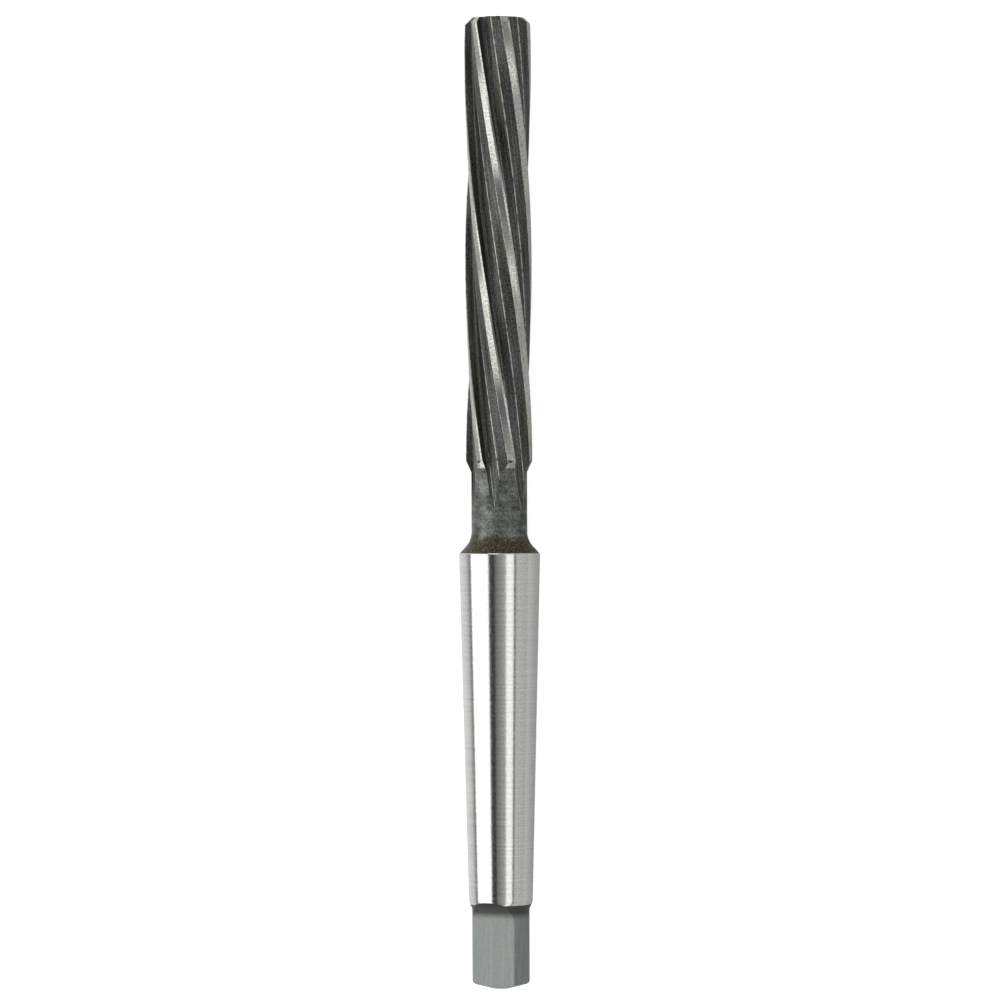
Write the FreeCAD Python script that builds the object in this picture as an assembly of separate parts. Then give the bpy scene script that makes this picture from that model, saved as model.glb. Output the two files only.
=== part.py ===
import FreeCAD, Part
import math
import os

from FreeCAD import Vector

# A machine reamer for 10 mm holes with a No. 1 Morse taper shank, made from one bar of high speed steel.
# Millimetres and degrees. The axis lies along Y, with the cutting end at +Y. The origin is on the axis, in
# the gauge plane of the taper. A turn is an angle about the axis, from +Z towards +X.

# Morse taper shank
gauge_diameter = 12.065
taper_rate = 0.04988        # change of diameter for each millimetre of length
gauge_to_shoulder = 3.5
shank_length = 65.5         # from the end of the tang to the shoulder
shoulder_bevel = 0.12
small_end_slope = 25.0      # of the bevel at the small end, off the axis
small_end_rounding = 1.5

# Tang
tang_step = 0.47            # radius lost from the small end of the taper to the tang
tang_thickness = 5.2
tang_length = 12.0          # from the end of the tang to the bevel of the small end
tang_flat_length = 9.9
tang_cutter_radius = 3.5
tang_end_slope = 15.0       # of the conical end, off square
tang_end_rounding = 0.5
tang_turn = -25.6           # of the first flat's outward normal

# Neck
neck_length = 13.9          # from the shoulder to the cutting part
neck_depth = 0.8            # radius lost from the cutting edges to the neck
shoulder_slope = 43.0       # of the cone at the shoulder, off the axis
shoulder_fillet = 3.2
back_cone_slope = 25.0      # of the cone behind the cutting part, off the axis

# Cutting part
cutting_diameter = 10.0
cutting_length = 66.6
lead_length = 0.9
lead_angle = 45.0
lead_relief = 8.0

# Flutes and lands
flute_count = 6
helix_lead = 184.0          # length of one whole turn of the left-hand helix
flute_depth = 1.4
flute_angle = 85.0          # between the cutting face and the bottom of the flute
flute_root_rounding = 0.35
flute_root_facets = 3       # flats that stand for the rounding
flute_bottom_width = 1.84
land_width = 1.24
margin_width = 0.28
relief_angle = 18.0
edge_turn = 19.3            # of one cutting edge, at the tip
flute_cutter_diameter = 90.0
flute_cutter_tilt = 15.0    # of the cutter's plane, off the cutting face

# Centre holes
centre_angle = 60.0
pilot_point_angle = 118.0
tip_centre_diameter = 3.35
tip_pilot_diameter = 1.6
tip_pilot_length = 1.9
tang_centre_diameter = 2.65
tang_pilot_diameter = 1.25
tang_pilot_length = 1.5

# Drawing aids
clearance = 0.5             # how far a cutting solid reaches past what it cuts
section_turn = 12.0         # most that one section of a flute turns from the last
run_out_sections = 8
seam_turn = 184.0           # of the turned surfaces' seam; a mesh of them then has a facet level underneath

# Places and radii that follow
shoulder_y = gauge_to_shoulder
tang_end_y = shoulder_y - shank_length
small_end_y = tang_end_y + tang_length
cutting_start_y = shoulder_y + neck_length
tip_y = cutting_start_y + cutting_length
cutting_radius = cutting_diameter / 2
neck_radius = cutting_radius - neck_depth
root_radius = cutting_radius - flute_depth
pitch_turn = 360 / flute_count


def sin(degrees):
    return math.sin(math.radians(degrees))


def cos(degrees):
    return math.cos(math.radians(degrees))


def tan(degrees):
    return math.tan(math.radians(degrees))


def rounded_outline(corners, place):
    """Edges through corners given as (a, b) or (a, b, rounding), put in space by place(a, b)."""
    flat = [Vector(corner[0], corner[1], 0) for corner in corners]
    edges = []
    start = flat[0]
    for index in range(1, len(corners)):
        corner = flat[index]
        if len(corners[index]) == 2:
            edges.append(Part.LineSegment(place(start), place(corner)).toShape())
            start = corner
            continue
        rounding = corners[index][2]
        back = (flat[index - 1] - corner).normalize()
        ahead = (flat[index + 1] - corner).normalize()
        half_angle = back.getAngle(ahead) / 2
        set_back = rounding / math.tan(half_angle)
        inward = (back + ahead).normalize()
        centre = corner + inward * (rounding / math.sin(half_angle))
        arc_start = corner + back * set_back
        arc_end = corner + ahead * set_back
        edges.append(Part.LineSegment(place(start), place(arc_start)).toShape())
        arc = Part.Arc(place(arc_start), place(centre - inward * rounding), place(arc_end))
        edges.append(arc.toShape())
        start = arc_end
    return edges


def taper_radius(y):
    return (gauge_diameter + taper_rate * y) / 2


tang_radius = taper_radius(small_end_y) - tang_step


def outward(turn):
    return Vector(sin(turn), 0, cos(turn))


def sideways(turn):
    return Vector(cos(turn), 0, -sin(turn))


def centre_hole(diameter, pilot_diameter, pilot_length, face_y, inward):
    """Corners of a centre hole, from its bottom on the axis out to its mouth."""
    cone_depth = (diameter - pilot_diameter) / 2 / tan(centre_angle / 2)
    wall_depth = cone_depth + pilot_length
    depth = wall_depth + pilot_diameter / 2 / tan(pilot_point_angle / 2)
    return [
        (0, face_y + inward * depth),
        (pilot_diameter / 2, face_y + inward * wall_depth),
        (pilot_diameter / 2, face_y + inward * cone_depth),
        (diameter / 2, face_y),
    ]


def turned_blank():
    """The bar as turned and taper ground, with its centre holes, before any milling."""
    tang_side_y = tang_end_y + (tang_radius - tang_centre_diameter / 2) * tan(tang_end_slope)
    bevel_end_y = small_end_y + tang_step / tan(small_end_slope)
    shoulder_radius = taper_radius(shoulder_y)
    neck_start_y = shoulder_y + (shoulder_radius - shoulder_bevel - neck_radius) / tan(shoulder_slope)
    neck_end_y = cutting_start_y - (cutting_radius - neck_radius) / tan(back_cone_slope)
    lead_depth = lead_length * tan(lead_angle)

    corners = centre_hole(tang_centre_diameter, tang_pilot_diameter, tang_pilot_length, tang_end_y, 1)
    corners += [
        (tang_radius, tang_side_y, tang_end_rounding),
        (tang_radius, small_end_y),
        (taper_radius(bevel_end_y), bevel_end_y, small_end_rounding),
        (taper_radius(shoulder_y - shoulder_bevel), shoulder_y - shoulder_bevel),
        (shoulder_radius - shoulder_bevel, shoulder_y),
        (neck_radius, neck_start_y, shoulder_fillet),
        (neck_radius, neck_end_y),
        (cutting_radius, cutting_start_y),
        (cutting_radius, tip_y - lead_length),
        (cutting_radius - lead_depth, tip_y),
    ]
    corners += reversed(centre_hole(tip_centre_diameter, tip_pilot_diameter, tip_pilot_length, tip_y, -1))
    corners.append(corners[0])

    def place(point):
        return outward(seam_turn) * point.x + Vector(0, point.y, 0)

    wire = Part.Wire(rounded_outline(corners, place))
    return Part.Face(wire).revolve(Vector(0, 0, 0), Vector(0, 1, 0), 360)


def across_axis(y, turn, shift):
    """Placing function for a drawing across the axis, whose first direction points out at that turn."""
    def place(point):
        drawn = point + shift
        return outward(turn) * drawn.x + sideways(turn) * drawn.y + Vector(0, y, 0)

    return place


def flute_root():
    """Corners of the rounding between the cutting face and the bottom of the flute."""
    set_back = flute_root_rounding / tan(flute_angle / 2)
    sweep = 180 - flute_angle
    corners = []
    for facet in range(flute_root_facets + 1):
        around = sweep * facet / flute_root_facets
        corners.append((
            root_radius + set_back - flute_root_rounding * sin(around),
            flute_root_rounding - flute_root_rounding * cos(around),
        ))
    return corners


def flute_corners():
    """The space between two teeth: cutting face, bottom, back of the tooth and its relieved land."""
    reach = cutting_radius / cos(pitch_turn / 2) + clearance
    bottom_end = Vector(root_radius, 0, 0) + Vector(cos(flute_angle), sin(flute_angle), 0) * flute_bottom_width
    margin_turn = pitch_turn - math.degrees(margin_width / cutting_radius)
    margin_back = Vector(cos(margin_turn), sin(margin_turn), 0) * cutting_radius
    relief = Vector(sin(margin_turn - relief_angle), -cos(margin_turn - relief_angle), 0)
    heel = margin_back + relief * (land_width - margin_width)
    outside = margin_back - relief * (margin_width / 2)
    outside_turn = math.degrees(math.atan2(outside.y, outside.x))
    return [
        (reach, 0),
        *flute_root(),
        (bottom_end.x, bottom_end.y),
        (heel.x, heel.y),
        (outside.x, outside.y),
        (reach * cos(outside_turn), reach * sin(outside_turn)),
        (reach, 0),
    ]


def flute_stations():
    """Places along the axis, tip first, each with how far the cutter has been lifted there."""
    start_y = tip_y + clearance
    steps = math.ceil((start_y - cutting_start_y) / helix_lead * 360 / section_turn)
    stations = [(start_y + (cutting_start_y - start_y) * step / steps, 0) for step in range(steps + 1)]

    cutter_radius = flute_cutter_diameter / 2
    last_lift = neck_radius - root_radius + clearance
    last_run = math.sqrt(cutter_radius ** 2 - (cutter_radius - last_lift) ** 2)
    for step in range(1, run_out_sections + 1):
        run = last_run * step / run_out_sections
        lift = cutter_radius - math.sqrt(cutter_radius ** 2 - run ** 2)
        stations.append((cutting_start_y - run, lift))
    return stations


def flute_cutter(turn_at_tip):
    """Solid of the space that one flute takes, from past the tip to where it runs out in the neck."""
    corners = flute_corners()
    lift_direction = Vector(cos(flute_cutter_tilt), sin(flute_cutter_tilt), 0)
    sections = []
    for y, lift in flute_stations():
        turn = turn_at_tip + (tip_y - y) / helix_lead * 360
        place = across_axis(y, turn, lift_direction * lift)
        sections.append(Part.Wire(rounded_outline(corners, place)))
    return Part.makeLoft(sections, True, False)


def lead_cutter(turn):
    """Block that grinds the lead behind one cutting edge, so that only the edge cuts."""
    lead_run = lead_length / cos(lead_angle)
    edge_direction = outward(turn) * -sin(lead_angle) + Vector(0, cos(lead_angle), 0)
    face_direction = outward(turn) * cos(lead_angle) + Vector(0, sin(lead_angle), 0)
    outer_corner = outward(turn) * cutting_radius + Vector(0, tip_y - lead_length, 0)

    def place(point):
        return outer_corner - edge_direction * lead_run + face_direction * point.x + sideways(turn) * point.y

    block_width = 2 * land_width
    corners = [
        (clearance * tan(lead_relief), clearance),
        (-block_width * tan(lead_relief), -block_width),
        (block_width, -block_width),
        (block_width, clearance),
        (clearance * tan(lead_relief), clearance),
    ]
    face = Part.Face(Part.Wire(rounded_outline(corners, place)))
    before_along_and_past = 3 * lead_run
    return face.extrude(edge_direction * before_along_and_past)


def tang_cutter(turn):
    """Round-nosed block that mills one flat of the tang."""
    inside = tang_thickness / 2
    outside = inside + gauge_diameter / 2 + tang_cutter_radius
    nose_y = tang_end_y + tang_flat_length + tang_cutter_radius
    corners = [
        (inside, tang_end_y - clearance),
        (inside, nose_y, tang_cutter_radius),
        (outside, nose_y),
        (outside, tang_end_y - clearance),
        (inside, tang_end_y - clearance),
    ]

    def place(point):
        return outward(turn) * point.x + Vector(0, point.y, 0) - sideways(turn) * gauge_diameter / 2

    face = Part.Face(Part.Wire(rounded_outline(corners, place)))
    return face.extrude(sideways(turn) * gauge_diameter)


def machine_reamer():
    edge_turns = [edge_turn + tooth * pitch_turn for tooth in range(flute_count)]
    cutters = [flute_cutter(turn) for turn in edge_turns]
    cutters += [lead_cutter(turn) for turn in edge_turns]
    cutters += [tang_cutter(tang_turn), tang_cutter(tang_turn + 180)]
    return turned_blank().cut(cutters)


os.makedirs("parts", exist_ok=True)
machine_reamer().exportStep("parts/machine_reamer.step")
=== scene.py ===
import math

import bmesh
import bpy
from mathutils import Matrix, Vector


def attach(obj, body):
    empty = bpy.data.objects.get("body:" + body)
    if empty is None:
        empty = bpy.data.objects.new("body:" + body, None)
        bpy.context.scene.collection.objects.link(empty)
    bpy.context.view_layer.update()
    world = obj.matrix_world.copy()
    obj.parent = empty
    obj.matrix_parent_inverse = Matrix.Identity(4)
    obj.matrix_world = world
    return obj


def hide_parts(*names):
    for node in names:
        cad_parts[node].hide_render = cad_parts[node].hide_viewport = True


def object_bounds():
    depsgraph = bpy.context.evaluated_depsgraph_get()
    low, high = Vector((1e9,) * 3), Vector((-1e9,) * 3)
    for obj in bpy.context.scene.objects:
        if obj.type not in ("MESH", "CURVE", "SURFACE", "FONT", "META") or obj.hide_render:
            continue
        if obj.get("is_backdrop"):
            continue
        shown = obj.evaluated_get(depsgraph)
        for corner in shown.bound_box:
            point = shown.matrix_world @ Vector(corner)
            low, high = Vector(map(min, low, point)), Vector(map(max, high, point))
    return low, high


# A machine reamer lying on a pale table, seen from straight above. It lies along Y with its teeth at +Y.
# Sizes are in millimetres and degrees, and mm turns them to metres.
# A turn is an angle about the axis, from +Z towards +X.
mm = 0.001

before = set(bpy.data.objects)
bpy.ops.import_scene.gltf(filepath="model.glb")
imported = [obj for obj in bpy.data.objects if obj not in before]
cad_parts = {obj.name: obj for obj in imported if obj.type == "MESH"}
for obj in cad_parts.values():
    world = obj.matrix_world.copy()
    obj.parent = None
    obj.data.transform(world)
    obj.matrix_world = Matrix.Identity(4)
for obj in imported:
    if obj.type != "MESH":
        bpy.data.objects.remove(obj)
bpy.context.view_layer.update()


def sin(degrees):
    return math.sin(math.radians(degrees))


def cos(degrees):
    return math.cos(math.radians(degrees))


def tan(degrees):
    return math.tan(math.radians(degrees))


def linear(hexColour):
    channels = [int(hexColour[place:place + 2], 16) / 255 for place in (1, 3, 5)]
    return [c / 12.92 if c <= 0.04045 else ((c + 0.055) / 1.055) ** 2.4 for c in channels] + [1.0]


def addNode(tree, kind, settings=None, inputs=None):
    # settings are the node's own; inputs are numbers, colours or other outputs, by socket name or number
    node = tree.nodes.new(kind)
    for name, value in (settings or {}).items():
        setattr(node, name, value)
    for name, value in (inputs or {}).items():
        if isinstance(value, bpy.types.NodeSocket):
            tree.links.new(value, node.inputs[name])
        else:
            node.inputs[name].default_value = value
    return node


def fillRamp(ramp, stops):
    while len(ramp.elements) < len(stops):
        ramp.elements.new(1.0)
    for element, (place, colour) in zip(ramp.elements, stops):
        element.position = place
        element.color = colour


def newMaterial(name):
    material = bpy.data.materials.new(name)
    material.use_nodes = True
    tree = material.node_tree
    shader = tree.nodes["Principled BSDF"]
    return material, tree, shader


# the reamer's form

reamer = {
    "tip": 84.0,
    "cuttingStart": 17.4,
    "edgeRadius": 5.0,
    "leadLength": 0.9,
    "leadAngle": 45.0,
    "leadRelief": 8.0,
    "backConeSlope": 25.0,
    "neckRadius": 4.2,
    "teeth": 6,
    "helixLead": 184.0,
    "edgeTurn": 19.3,
    "rootRadius": 3.6,
    "fluteAngle": 85.0,
    "rootRounding": 0.35,
    "bottomWidth": 1.84,
    "landWidth": 1.24,
    "marginWidth": 0.28,
    "reliefAngle": 18.0,
    "wheelRadius": 45.0,        # of the grinding wheel, whose round shows where the flutes run out
    "wheelTilt": 15.0,
    "runOutEnd": 9.9,
    "plainNeck": 6.9,
    "shoulder": 3.5,
    "shoulderBevel": 0.12,
    "shoulderSlope": 43.0,
    "shoulderFillet": 3.2,
    "gaugeRadius": 6.0325,
    "taper": 0.02494,           # radius for each millimetre of length
    "smallEnd": -50.0,
    "smallEndSlope": 25.0,
    "smallEndRounding": 1.5,
    "tangEnd": -62.0,
    "tangStep": 0.47,
    "tangHalf": 2.6,
    "tangFlat": 9.9,
    "tangCutter": 3.5,
    "tangTurn": -25.6,
    "tangEndSlope": 15.0,
    "tangEndRounding": 0.5,
    "tipCentre": (1.675, 0.8, 1.9),
    "tangCentre": (1.325, 0.625, 1.5),
}

# how many steps each part of one tooth's section gets
steps = {"face": 5, "root": 8, "bottom": 9, "back": 14, "relief": 6, "margin": 3}
slots = {"shank": 0, "land": 1, "flute": 2, "neck": 3, "tang": 4, "centre": 5}


def outerRadius(y):
    r = reamer
    if y > r["tip"] - r["leadLength"]:
        return r["edgeRadius"] - (y - r["tip"] + r["leadLength"]) * tan(r["leadAngle"])
    if y >= r["cuttingStart"]:
        return r["edgeRadius"]
    return max(r["neckRadius"], r["edgeRadius"] - (r["cuttingStart"] - y) * tan(r["backConeSlope"]))


def leadRadius(y, behind):
    # the lead is ground a little lower behind each edge
    r = reamer
    past = y - r["tip"] + r["leadLength"]
    if past <= 0:
        return r["edgeRadius"]
    a = r["leadAngle"]
    reach = cos(a) * r["edgeRadius"] - sin(a) * past
    return reach / (cos(a) * cos(behind) + tan(r["leadRelief"]) * sin(behind))


def toothSection(y):
    # one pitch of the section at y: (radius, turn from the edge, part, edge brightness)
    # the edge brightness is how far an edge is made bright: rubbing on the cutting edge and the heel, painted
    # highlight along the root's rounding and the crease where the back begins
    r = reamer
    pitch = 360 / r["teeth"]
    run = max(0.0, r["cuttingStart"] - y)
    lift = r["wheelRadius"] - math.sqrt(r["wheelRadius"] ** 2 - run ** 2)
    shift = Vector((lift * cos(r["wheelTilt"]), lift * sin(r["wheelTilt"])))
    outer = outerRadius(y)

    setBack = r["rootRounding"] / tan(r["fluteAngle"] / 2)
    sweep = 180 - r["fluteAngle"]
    root = Vector((r["rootRadius"], 0))
    bottomEnd = root + Vector((cos(r["fluteAngle"]), sin(r["fluteAngle"]))) * r["bottomWidth"] + shift
    marginTurn = pitch - math.degrees(r["marginWidth"] / r["edgeRadius"])
    marginBack = Vector((cos(marginTurn), sin(marginTurn))) * r["edgeRadius"] + shift
    relief = Vector((sin(marginTurn - r["reliefAngle"]), -cos(marginTurn - r["reliefAngle"])))
    heel = marginBack + relief * (r["landWidth"] - r["marginWidth"])
    faceTop = Vector((math.sqrt(outer ** 2 - shift.y ** 2), shift.y))
    faceFoot = root + Vector((setBack, 0)) + shift
    rootFoot = root + Vector((cos(r["fluteAngle"]), sin(r["fluteAngle"]))) * setBack + shift

    points = []

    def line(start, end, part, rubAndGlintAtStart):
        for step in range(steps[part]):
            points.append((start.lerp(end, step / steps[part]), part, rubAndGlintAtStart if step == 0 else 0.0))

    line(faceTop, faceFoot, "face", 1.0)
    for step in range(steps["root"]):
        around = sweep * step / steps["root"]
        offset = Vector((setBack - r["rootRounding"] * sin(around), r["rootRounding"] * (1 - cos(around))))
        points.append((root + offset + shift, "root", 0.0))
    # the foot of the root's rounding and the crease where the back begins carry a painted highlight line
    line(rootFoot, bottomEnd, "bottom", 0.7)
    line(bottomEnd, heel, "back", 1.0)
    line(heel, marginBack, "relief", 1.0)

    section = []
    for point, part, rubAndGlint in points:
        turn = math.degrees(math.atan2(point.y, point.x))
        limit = min(outer, leadRadius(y, pitch - turn)) if part in ("back", "relief") else outer
        section.append((min(point.length, limit), turn, part, rubAndGlint))
    backTurn = math.degrees(math.atan2(marginBack.y, marginBack.x))
    endTurn = pitch + section[0][1]
    for step in range(steps["margin"]):
        turn = backTurn + (endTurn - backTurn) * step / steps["margin"]
        radius = min(outer, leadRadius(y, pitch - turn))
        section.append((radius, turn, "margin", 1.0 if step == 0 else 0.0))
    return section


def filleted(corners):
    # a line through (radius, y) corners, rounded where a corner has a third number
    line = [Vector(corners[0][:2])]
    for before, corner, after in zip(corners, corners[1:], corners[2:]):
        here = Vector(corner[:2])
        if len(corner) == 2:
            line.append(here)
            continue
        back = (Vector(before[:2]) - here).normalized()
        ahead = (Vector(after[:2]) - here).normalized()
        half = back.angle(ahead) / 2
        centre = here + (back + ahead).normalized() * corner[2] / math.sin(half)
        start = here + back * corner[2] / math.tan(half) - centre
        end = here + ahead * corner[2] / math.tan(half) - centre
        for step in range(13):
            line.append(centre + start.lerp(end, step / 12).normalized() * corner[2])
    return line + [Vector(corners[-1][:2])]


def centreHole(hole, faceY, inward):
    # from the mouth of a centre hole down to its bottom on the axis
    mouth, pilot, length = hole
    coneDepth = (mouth - pilot) / tan(30)
    return [
        Vector((mouth, faceY)),
        Vector((pilot, faceY + inward * coneDepth)),
        Vector((pilot, faceY + inward * (coneDepth + length))),
        Vector((0.0, faceY + inward * (coneDepth + length + pilot / tan(59)))),
    ]


def spread(start, end, most):
    count = max(1, math.ceil(abs(end - start) / most))
    return [start + (end - start) * step / count for step in range(count)]


def ringStations():
    r = reamer
    leadFoot = r["tip"] - r["leadLength"]
    coneFoot = r["cuttingStart"] - (r["edgeRadius"] - r["neckRadius"]) / tan(r["backConeSlope"])
    stations = spread(r["tip"], leadFoot, 0.12) + spread(leadFoot, r["cuttingStart"], 0.8)
    stations += spread(r["cuttingStart"], coneFoot, 0.2) + spread(coneFoot, r["runOutEnd"], 0.2)
    return stations + [r["runOutEnd"]]


def buildBody():
    r = reamer
    mesh = bpy.data.meshes.new("machineReamer")
    body = bmesh.new()
    rubAndGlint = body.verts.layers.float.new("rubAndGlint")
    unrolled = body.loops.layers.uv.new("unrolled")
    pitch = 360 / r["teeth"]

    def addRing(points):
        # points are (radius, turn, y, rub)
        ring = []
        for radius, turn, y, rubbedAndGlinting in points:
            vert = body.verts.new((radius * sin(turn) * mm, y * mm, radius * cos(turn) * mm))
            vert[rubAndGlint] = rubbedAndGlinting
            ring.append(vert)
        return ring

    def joinRings(upper, lower, slotOf, spans):
        # spans are where each face starts and ends round the reamer, in millimetres
        # the finishes' patterns run in those and in Y
        count = len(upper)
        for index in range(count):
            after = (index + 1) % count
            face = body.faces.new([upper[index], upper[after], lower[after], lower[index]])
            face.material_index = slotOf(index)
            face.smooth = True
            start, end = spans[index]
            for loop, across in zip(face.loops, (start, end, end, start)):
                loop[unrolled].uv = (across, loop.vert.co.y / mm)

    # distances across one tooth, edge to edge, so that grinding lines follow the helix
    toothPatch = 20             # from one tooth's pattern to the next's, more than a tooth is wide
    nominal = toothSection(r["cuttingStart"])
    corners = [Vector((radius * cos(turn), radius * sin(turn))) for radius, turn, *rest in nominal]
    corners.append(Vector((r["edgeRadius"] * cos(pitch), r["edgeRadius"] * sin(pitch))))
    reached = [0.0]
    for here, ahead in zip(corners, corners[1:]):
        reached.append(reached[-1] + (ahead - here).length)
    toothSpans = []
    for tooth in range(r["teeth"]):
        offset = tooth * toothPatch
        toothSpans += [(offset + start, offset + end) for start, end in zip(reached, reached[1:])]

    # the toothed part and the flutes' run-outs, tip first
    rings = []
    for y in ringStations():
        section = toothSection(y)
        base = r["edgeTurn"] + (r["tip"] - y) / r["helixLead"] * 360
        points = []
        for tooth in range(r["teeth"]):
            for radius, turn, part, rubbedAndGlinting in section:
                points.append((radius, base + tooth * pitch + turn, y, rubbedAndGlinting))
        rings.append((y, section, addRing(points)))
    for (y, section, ring), (nextY, nextSection, nextRing) in zip(rings, rings[1:]):
        middle = (y + nextY) / 2

        def slotOf(index):
            here = index % len(section)
            after = (here + 1) % len(section)
            part = section[here][2]
            around = [section[here], section[after], nextSection[here], nextSection[after]]
            depth = outerRadius(middle) - sum(point[0] for point in around) / 4
            if middle > r["cuttingStart"] and part in ("relief", "margin"):
                return slots["land"]
            if depth > 0.003:
                return slots["flute"]
            return slots["neck"] if middle < r["cuttingStart"] - 1.2 else slots["land"]

        joinRings(ring, nextRing, slotOf, toothSpans)

    # the plain neck, where the points drift from the teeth's spacing to an even one
    lastY, lastSection, lastRing = rings[-1]
    base = r["edgeTurn"] + (r["tip"] - lastY) / r["helixLead"] * 360
    count = len(lastRing)
    girth = 2 * math.pi * r["gaugeRadius"]
    evenSpans = [(girth * index / count, girth * (index + 1) / count) for index in range(count)]
    turns = []
    for tooth in range(r["teeth"]):
        turns += [base + tooth * pitch + point[1] for point in lastSection]
    drift = 8
    ring = lastRing
    for step in range(1, drift + 1):
        y = lastY + (r["plainNeck"] - lastY) * step / drift
        share = step / drift
        points = []
        for index in range(count):
            even = base + 360 * index / count
            points.append((r["neckRadius"], turns[index] * (1 - share) + even * share, y, 0.0))
        nextRing = addRing(points)
        joinRings(ring, nextRing, lambda index: slots["neck"], evenSpans)
        ring = nextRing

    # the shoulder, shank and tang, turned in one line down to the centre hole
    def taperRadius(y):
        return r["gaugeRadius"] + r["taper"] * y

    shoulderRadius = taperRadius(r["shoulder"]) - r["shoulderBevel"]
    neckStart = r["shoulder"] + (shoulderRadius - r["neckRadius"]) / tan(r["shoulderSlope"])
    tangRadius = taperRadius(r["smallEnd"]) - r["tangStep"]
    bevelEnd = r["smallEnd"] + r["tangStep"] / tan(r["smallEndSlope"])
    sideEnd = r["tangEnd"] + (tangRadius - r["tangCentre"][0]) * tan(r["tangEndSlope"])
    rim = r["shoulder"] - r["shoulderBevel"]
    taperLine = [(taperRadius(y), y) for y in spread(rim, bevelEnd, 2.5)]
    line = filleted(
        [
            (r["neckRadius"], r["plainNeck"]),
            (r["neckRadius"], neckStart, r["shoulderFillet"]),
            (shoulderRadius, r["shoulder"]),
        ]
        + taperLine
        + [
            (taperRadius(bevelEnd), bevelEnd, r["smallEndRounding"]),
            (tangRadius, r["smallEnd"]),
            (tangRadius, sideEnd, r["tangEndRounding"]),
            (r["tangCentre"][0], r["tangEnd"]),
        ]
    )
    line += centreHole(r["tangCentre"], r["tangEnd"], 1)[1:]
    for corner, nextCorner in zip(line, line[1:]):
        radius, y = nextCorner
        nextRing = addRing([(radius, base + 360 * index / count, y, 0.0) for index in range(count)])
        middle = (corner.y + y) / 2
        if corner.x < r["tangCentre"][0] + 0.001 and y > r["tangEnd"] - 0.001 and middle < r["smallEnd"]:
            slot = slots["centre"]
        elif middle > r["shoulder"]:
            slot = slots["neck"]
        elif middle > bevelEnd - 0.45:
            slot = slots["shank"]
        else:
            slot = slots["tang"]
        joinRings(ring, nextRing, lambda index: slot, evenSpans)
        ring = nextRing

    # the tip's face and its centre hole
    ring = rings[0][2]
    base = r["edgeTurn"]
    tipTurns = [base + tooth * pitch + point[1] for tooth in range(r["teeth"]) for point in rings[0][1]]
    for depth, (radius, y) in enumerate(centreHole(r["tipCentre"], r["tip"], -1)):
        nextRing = addRing([(radius, turn, y, 0.0) for turn in tipTurns])
        slot = slots["land"] if depth == 0 else slots["centre"]
        joinRings(nextRing, ring, lambda index: slot, evenSpans)
        ring = nextRing

    bmesh.ops.remove_doubles(body, verts=body.verts, dist=0.0001 * mm)
    bmesh.ops.dissolve_degenerate(body, edges=body.edges, dist=0.0001 * mm)
    bmesh.ops.recalc_face_normals(body, faces=body.faces)
    body.to_mesh(mesh)
    body.free()
    return bpy.data.objects.new("machineReamer", mesh)


def tangCutter(turn):
    # a round-nosed prism that mills one flat of the tang
    r = reamer
    outward = Vector((sin(turn), 0, cos(turn)))
    sideways = Vector((cos(turn), 0, -sin(turn)))
    flatEnd = r["tangEnd"] + r["tangFlat"]
    outline = [(r["tangHalf"], r["tangEnd"] - 1)]
    for step in range(25):
        around = 90 * step / 24
        outline.append((
            r["tangHalf"] + r["tangCutter"] * (1 - cos(around)),
            flatEnd + r["tangCutter"] * sin(around),
        ))
    outline += [(12, flatEnd + r["tangCutter"]), (12, r["tangEnd"] - 1)]
    cutter = bmesh.new()
    sides = []
    for side in (-8, 8):
        corners = [outward * out + Vector((0, y, 0)) + sideways * side for out, y in outline]
        sides.append([cutter.verts.new(corner * mm) for corner in corners])
    cutter.faces.new(sides[0])
    cutter.faces.new(reversed(sides[1]))
    for index in range(len(outline)):
        after = (index + 1) % len(outline)
        cutter.faces.new([sides[0][index], sides[1][index], sides[1][after], sides[0][after]])
    bmesh.ops.recalc_face_normals(cutter, faces=cutter.faces)
    for face in cutter.faces:
        face.material_index = slots["tang"]
        face.smooth = True
    mesh = bpy.data.meshes.new("tangCutter")
    cutter.to_mesh(mesh)
    cutter.free()
    return bpy.data.objects.new("tangCutter", mesh)


def buildReamer(materials):
    body = buildBody()
    bpy.context.collection.objects.link(body)
    for material in materials:
        body.data.materials.append(material)
    cutters = [tangCutter(reamer["tangTurn"]), tangCutter(reamer["tangTurn"] + 180)]
    for cutter in cutters:
        bpy.context.collection.objects.link(cutter)
        for material in materials:
            cutter.data.materials.append(material)
        cut = body.modifiers.new("mill", "BOOLEAN")
        cut.operation = "DIFFERENCE"
        cut.solver = "EXACT"
        cut.object = cutter
    bpy.context.view_layer.update()
    milled = bpy.data.meshes.new_from_object(body.evaluated_get(bpy.context.evaluated_depsgraph_get()))
    body.modifiers.clear()
    body.data = milled
    for cutter in cutters:
        bpy.data.objects.remove(cutter)
    milled.set_sharp_from_angle(angle=math.radians(14))
    print("reamer built:", len(milled.polygons), "faces,", len(milled.materials), "materials")
    return body


def unrolledNoise(tree, size, detail=2.0, offset=0.0):
    # noise whose grains are size (across, along) in millimetres on the unrolled surface
    place = addNode(tree, "ShaderNodeUVMap", {"uv_map": "unrolled"}).outputs["UV"]
    moved = addNode(tree, "ShaderNodeMapping", inputs={
        "Vector": place, "Location": (offset, offset, 0), "Scale": (1 / size[0], 1 / size[1], 1)})
    noise = addNode(tree, "ShaderNodeTexNoise", {"noise_dimensions": "2D"}, {
        "Vector": moved.outputs[0], "Scale": 1.0, "Detail": detail, "Roughness": 0.6})
    return noise.outputs["Fac"]


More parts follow.
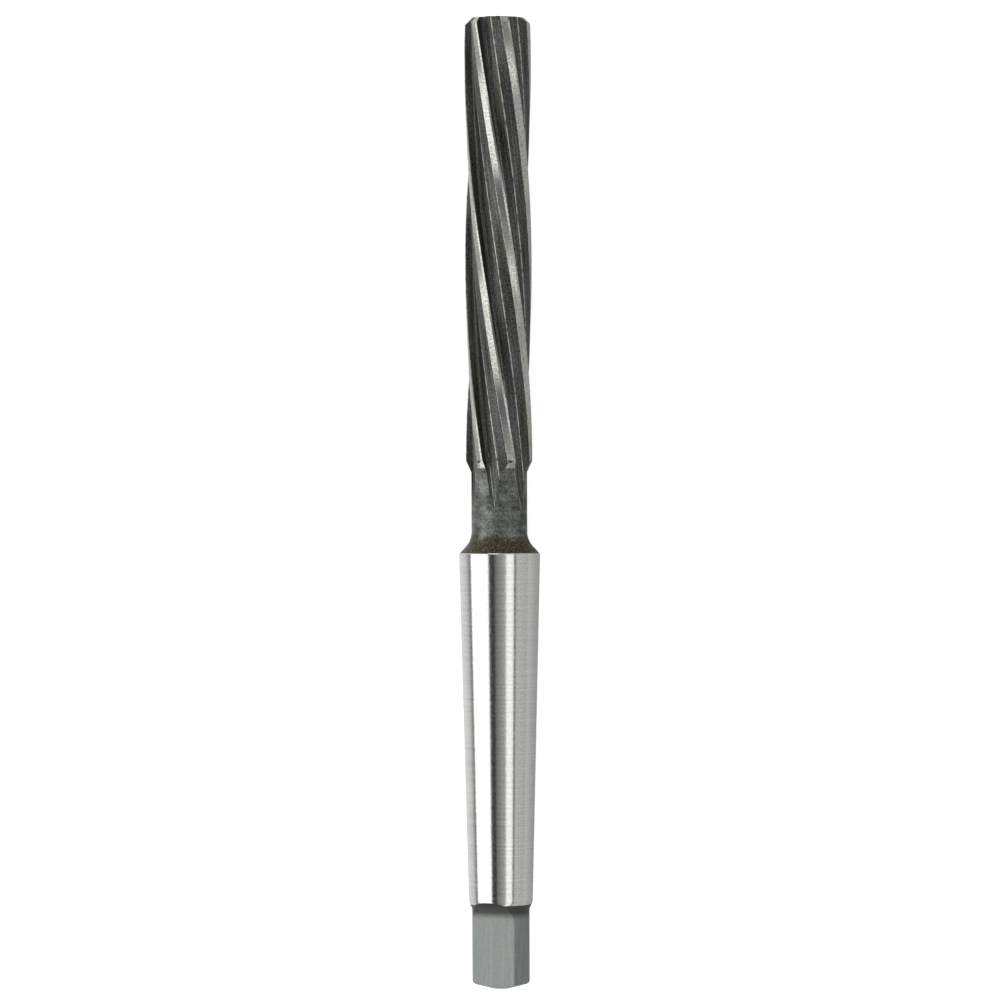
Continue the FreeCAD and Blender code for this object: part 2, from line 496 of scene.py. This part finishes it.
def solidNoise(tree, size, detail=2.0):
    # noise whose grains are size millimetres in the reamer's own X, Y and Z
    # for the flats, which the cutter leaves without the unrolled pattern
    place = addNode(tree, "ShaderNodeTexCoord").outputs["Object"]
    scaled = addNode(tree, "ShaderNodeMapping", inputs={
        "Vector": place, "Scale": tuple(1 / (across * mm) for across in size)})
    noise = addNode(tree, "ShaderNodeTexNoise", {"noise_dimensions": "3D"}, {
        "Vector": scaled.outputs[0], "Scale": 1.0, "Detail": detail, "Roughness": 0.6})
    return noise.outputs["Fac"]


def shade(tree, value, low, high, dark, light):
    # turns noise between low and high into colours between dark and light
    ramp = addNode(tree, "ShaderNodeValToRGB", inputs={"Fac": value})
    fillRamp(ramp.color_ramp, [(low, linear(dark)), (high, linear(light))])
    return ramp.outputs["Color"]


def mixed(tree, blend, factor, first, second):
    # 0, 6 and 7 are the mix node's factor and its two colours
    settings = {"data_type": "RGBA", "blend_type": blend}
    mix = addNode(tree, "ShaderNodeMix", settings, {0: factor, 6: first, 7: second})
    return mix.outputs[2]


def between(tree, value, fromLow, fromHigh, low, high):
    mapped = addNode(tree, "ShaderNodeMapRange", inputs={
        "Value": value, "From Min": fromLow, "From Max": fromHigh, "To Min": low, "To Max": high})
    return mapped.outputs[0]


def groundShank():
    # high speed steel, cylindrically ground: bright, with fine lines round it and sharp reflections
    look = {"steel": "#c8c8c6", "line": 0.3, "grain": 0.35}
    material, tree, shader = newMaterial("groundHighSpeedSteel")
    # grit lines are about 0.02 mm apart, too fine to show, so these are drawn coarser
    lines = unrolledNoise(tree, (24.0, look["line"]), 3.0)
    grain = unrolledNoise(tree, (look["grain"], look["grain"]), 3.0, 7.0)
    lined = shade(tree, lines, 0.3, 0.65, "#efefef", "#ffffff")
    colour = mixed(tree, "MULTIPLY", 1.0, linear(look["steel"]), lined)
    colour = mixed(tree, "MULTIPLY", 1.0, colour, shade(tree, grain, 0.35, 0.6, "#f1f1f1", "#ffffff"))
    tree.links.new(colour, shader.inputs["Base Color"])
    shader.inputs["Metallic"].default_value = 1.0
    tree.links.new(between(tree, grain, 0.3, 0.7, 0.12, 0.2), shader.inputs["Roughness"])
    return material


def groundLand():
    # the same steel on the lands, ground after the flutes and left duller, with a trace of the oxide on it
    look = {"steel": "#b6b6b0", "stain": "#8d8f84", "grain": 0.3, "patch": 3.0}
    material, tree, shader = newMaterial("groundLandSteel")
    grain = unrolledNoise(tree, (look["grain"], look["grain"]), 3.0)
    patch = unrolledNoise(tree, (look["patch"], look["patch"] * 2), 2.0, 3.0)
    stained = between(tree, patch, 0.45, 0.75, 0.0, 0.6)
    colour = mixed(tree, "MIX", stained, linear(look["steel"]), linear(look["stain"]))
    colour = mixed(tree, "MULTIPLY", 1.0, colour, shade(tree, grain, 0.35, 0.6, "#c8c8c8", "#ffffff"))
    tree.links.new(colour, shader.inputs["Base Color"])
    shader.inputs["Metallic"].default_value = 1.0
    tree.links.new(between(tree, grain, 0.3, 0.7, 0.34, 0.24), shader.inputs["Roughness"])
    return material


def fluteOxide():
    # flutes ground along the helix and blackened in tempering: dark, streaked, with bright corner lines that
    # are partly rubbed and partly a painted highlight
    look = {
        "dark": "#2d2d2a", "light": "#74746f", "olive": "#47453a", "teal": "#555a5c",
        "streak": (0.22, 9.0), "grain": 0.3, "patch": (2.2, 9.0), "rubbedAndGlinting": "#c4c4b8",
    }
    material, tree, shader = newMaterial("temperedOxideSteel")
    streaks = unrolledNoise(tree, look["streak"], 3.0)
    grain = unrolledNoise(tree, (look["grain"], look["grain"]), 4.0, 5.0)
    patch = unrolledNoise(tree, look["patch"], 2.0, 11.0)
    colour = shade(tree, streaks, 0.35, 0.72, look["dark"], look["light"])
    tint = shade(tree, patch, 0.42, 0.6, look["olive"], look["teal"])
    colour = mixed(tree, "MIX", 0.4, colour, tint)
    colour = mixed(tree, "MULTIPLY", 1.0, colour, shade(tree, grain, 0.36, 0.62, "#9a9a9a", "#ffffff"))
    # bright lines along the corners: rubbing on the cutting edge, painted highlight at the root's rounding
    # and the crease
    wornAndGlinting = addNode(tree, "ShaderNodeAttribute", {"attribute_name": "rubAndGlint"}).outputs["Fac"]
    gaps = between(tree, unrolledNoise(tree, (3.0, 1.2), 2.0, 2.0), 0.3, 0.55, 0.15, 0.9)
    edge = between(tree, wornAndGlinting, 0.25, 0.9, 0.0, 1.0)
    broken = addNode(tree, "ShaderNodeMath", {"operation": "MULTIPLY"}, {0: edge, 1: gaps})
    colour = mixed(tree, "MIX", broken.outputs[0], colour, linear(look["rubbedAndGlinting"]))
    tree.links.new(colour, shader.inputs["Base Color"])
    shader.inputs["Metallic"].default_value = 0.8
    tree.links.new(between(tree, grain, 0.3, 0.7, 0.36, 0.5), shader.inputs["Roughness"])
    return material


def neckOxide():
    # turned neck with the heat treatment's scale left on: grey-green, going to burnt brown in the shoulder
    look = {
        "dark": "#474a45", "light": "#7b7e79", "burnt": "#2a281c", "rust": "#57502f",
        "line": 0.5, "patch": (3.5, 2.5), "burntTop": 6.6, "burntBottom": 5.4,
    }
    material, tree, shader = newMaterial("scaledTurnedSteel")
    lines = unrolledNoise(tree, (8.0, look["line"]), 3.0)
    patch = unrolledNoise(tree, look["patch"], 3.0, 4.0)
    grain = unrolledNoise(tree, (0.35, 0.35), 3.0, 9.0)
    both = addNode(tree, "ShaderNodeMath", {"operation": "MULTIPLY_ADD"}, {0: lines, 1: 0.4, 2: patch})
    colour = shade(tree, both.outputs[0], 0.5, 0.9, look["dark"], look["light"])
    burnt = shade(tree, grain, 0.42, 0.66, look["burnt"], look["rust"])
    place = addNode(tree, "ShaderNodeUVMap", {"uv_map": "unrolled"}).outputs["UV"]
    along = addNode(tree, "ShaderNodeSeparateXYZ", inputs={0: place}).outputs["Y"]
    ragged = addNode(tree, "ShaderNodeMath", {"operation": "MULTIPLY_ADD"}, {0: patch, 1: 1.6, 2: along})
    share = between(tree, ragged.outputs[0], look["burntTop"] + 0.8, look["burntBottom"] + 0.8, 0.0, 0.95)
    colour = mixed(tree, "MIX", share, colour, burnt)
    colour = mixed(tree, "MULTIPLY", 1.0, colour, shade(tree, grain, 0.36, 0.6, "#b0b0b0", "#ffffff"))
    tree.links.new(colour, shader.inputs["Base Color"])
    shader.inputs["Metallic"].default_value = 0.7
    tree.links.new(between(tree, patch, 0.3, 0.7, 0.55, 0.42), shader.inputs["Roughness"])
    return material


def milledTang():
    # the tang is milled, then hardened with the rest: satin grey, with painted shade where its flats run out
    # into the cutter's round corner
    look = {
        "dark": "#7a7e7c", "light": "#838784", "runOutShade": "#2c2b26", "line": (0.5, 6.0, 0.5),
        "grain": 0.25, "cornerTop": -50.4, "cornerBottom": -51.4,
    }
    material, tree, shader = newMaterial("milledTangSteel")
    lines = solidNoise(tree, look["line"])
    grain = solidNoise(tree, (look["grain"],) * 3, 3.0)
    colour = shade(tree, lines, 0.35, 0.65, look["dark"], look["light"])
    colour = mixed(tree, "MULTIPLY", 1.0, colour, shade(tree, grain, 0.36, 0.6, "#e8e8e8", "#ffffff"))
    place = addNode(tree, "ShaderNodeTexCoord").outputs["Object"]
    along = addNode(tree, "ShaderNodeSeparateXYZ", inputs={0: place}).outputs["Y"]
    # painted shade, darkening the run-out corner from y -51.4 mm upwards
    corner = between(tree, along, look["cornerBottom"] * mm, look["cornerTop"] * mm, 0.0, 0.85)
    colour = mixed(tree, "MIX", corner, colour, linear(look["runOutShade"]))
    tree.links.new(colour, shader.inputs["Base Color"])
    shader.inputs["Metallic"].default_value = 0.75
    tree.links.new(between(tree, grain, 0.3, 0.7, 0.46, 0.56), shader.inputs["Roughness"])
    return material


def turnedCentre():
    # drilled centre holes, with the drill's rings in them
    look = {"dark": "#6a6a66", "light": "#8f8f8b", "line": 0.2}
    material, tree, shader = newMaterial("drilledCentreSteel")
    lines = unrolledNoise(tree, (12.0, look["line"]), 2.0)
    tree.links.new(shade(tree, lines, 0.35, 0.65, look["dark"], look["light"]), shader.inputs["Base Color"])
    shader.inputs["Metallic"].default_value = 1.0
    shader.inputs["Roughness"].default_value = 0.35
    return material


materials = [groundShank(), groundLand(), fluteOxide(), neckOxide(), milledTang(), turnedCentre()]
piece = buildReamer(materials)
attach(piece, "root")
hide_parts("machine_reamer")


def studioSky():
    # (turn about the reamer's axis from straight up, brightness)
    # a wide softbox on the left, a dark gap, and a strip on the right
    bands = [
        (-180, 0.9), (-92.5, 0.9), (-92, 2.2), (-33.5, 2.2), (-31.5, 0.05), (-14.5, 0.05), (-13, 0.26),
        (18, 0.66), (19.5, 1.75), (41.5, 1.65), (42.5, 0.1), (47.5, 0.1), (49, 0.84), (90, 0.7), (180, 0.7),
    ]
    world = bpy.data.worlds.new("studio")
    bpy.context.scene.world = world
    world.use_nodes = True
    tree = world.node_tree
    tree.nodes.clear()
    direction = addNode(tree, "ShaderNodeTexCoord").outputs["Generated"]
    apart = addNode(tree, "ShaderNodeSeparateXYZ", inputs={0: direction})
    turn = addNode(tree, "ShaderNodeMath", {"operation": "ARCTAN2"}, {
        0: apart.outputs["X"], 1: apart.outputs["Z"]})
    share = addNode(tree, "ShaderNodeMapRange", inputs={
        "Value": turn.outputs[0], "From Min": -math.pi, "From Max": math.pi})
    ramp = addNode(tree, "ShaderNodeValToRGB", inputs={"Fac": share.outputs[0]})
    fillRamp(ramp.color_ramp, [((t + 180) / 360, (b / 2, b / 2, b / 2, 1)) for t, b in bands])
    sky = addNode(tree, "ShaderNodeBackground", inputs={"Color": ramp.outputs["Color"], "Strength": 2.0})
    addNode(tree, "ShaderNodeOutputWorld", inputs={"Surface": sky.outputs[0]})


def table():
    # matt white paint; what bright metal mirrors of it is greyer far off on the left and all along the right
    look = {"paint": "#f2f2f2", "glow": 0.5, "half": 900.0, "reach": 200}
    mirrored = [
        (-200, 0.05), (-80, 0.22), (-45, 0.45), (-26, 0.68), (-16, 0.78), (0, 0.8), (6, 0.4), (12, 0.48),
        (60, 0.58), (200, 0.58),
    ]
    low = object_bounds()[0][2]
    half = look["half"] * mm
    mesh = bpy.data.meshes.new("table")
    corners = [(-half, -half, low), (half, -half, low), (half, half, low), (-half, half, low)]
    mesh.from_pydata(corners, [], [(0, 1, 2, 3)])
    top = bpy.data.objects.new("table", mesh)
    bpy.context.collection.objects.link(top)
    material, tree, shader = newMaterial("mattWhitePaint")
    shader.inputs["Roughness"].default_value = 0.9
    shader.inputs["Specular IOR Level"].default_value = 0.0
    seen = addNode(tree, "ShaderNodeLightPath")
    place = addNode(tree, "ShaderNodeTexCoord").outputs["Object"]
    across = addNode(tree, "ShaderNodeSeparateXYZ", inputs={0: place}).outputs["X"]
    reach = look["reach"]
    share = addNode(tree, "ShaderNodeMapRange", inputs={
        "Value": across, "From Min": -reach * mm, "From Max": reach * mm})
    ramp = addNode(tree, "ShaderNodeValToRGB", inputs={"Fac": share.outputs[0]})
    fillRamp(ramp.color_ramp, [((x + reach) / (2 * reach), (b, b, b, 1)) for x, b in mirrored])
    white = (1, 1, 1, 1)
    mirror = mixed(tree, "MIX", seen.outputs["Is Glossy Ray"], white, ramp.outputs["Color"])
    tree.links.new(mixed(tree, "MULTIPLY", 1.0, linear(look["paint"]), mirror), shader.inputs["Base Color"])
    tree.links.new(mirror, shader.inputs["Emission Color"])
    either = addNode(tree, "ShaderNodeMath", {"operation": "MAXIMUM"}, {
        0: seen.outputs["Is Camera Ray"], 1: seen.outputs["Is Glossy Ray"]})
    glow = addNode(tree, "ShaderNodeMath", {"operation": "MULTIPLY"}, {0: either.outputs[0], 1: look["glow"]})
    tree.links.new(glow.outputs[0], shader.inputs["Emission Strength"])
    top.data.materials.append(material)
    top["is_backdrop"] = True


def cameraAbove():
    view = {"x": 0.105, "y": 11.49, "height": 700.0, "across": 150.6, "roll": -0.22}
    camera = bpy.data.cameras.new("camera")
    camera.sensor_width = 36
    camera.lens = 36 * view["height"] / view["across"]
    camera.clip_start = 0.01
    eye = bpy.data.objects.new("camera", camera)
    eye.location = (view["x"] * mm, view["y"] * mm, view["height"] * mm)
    eye.rotation_euler = (0, 0, math.radians(view["roll"]))
    bpy.context.collection.objects.link(eye)
    bpy.context.scene.camera = eye


studioSky()
table()
cameraAbove()
bpy.context.scene.view_settings.view_transform = "Standard"
print("table, light and camera set")
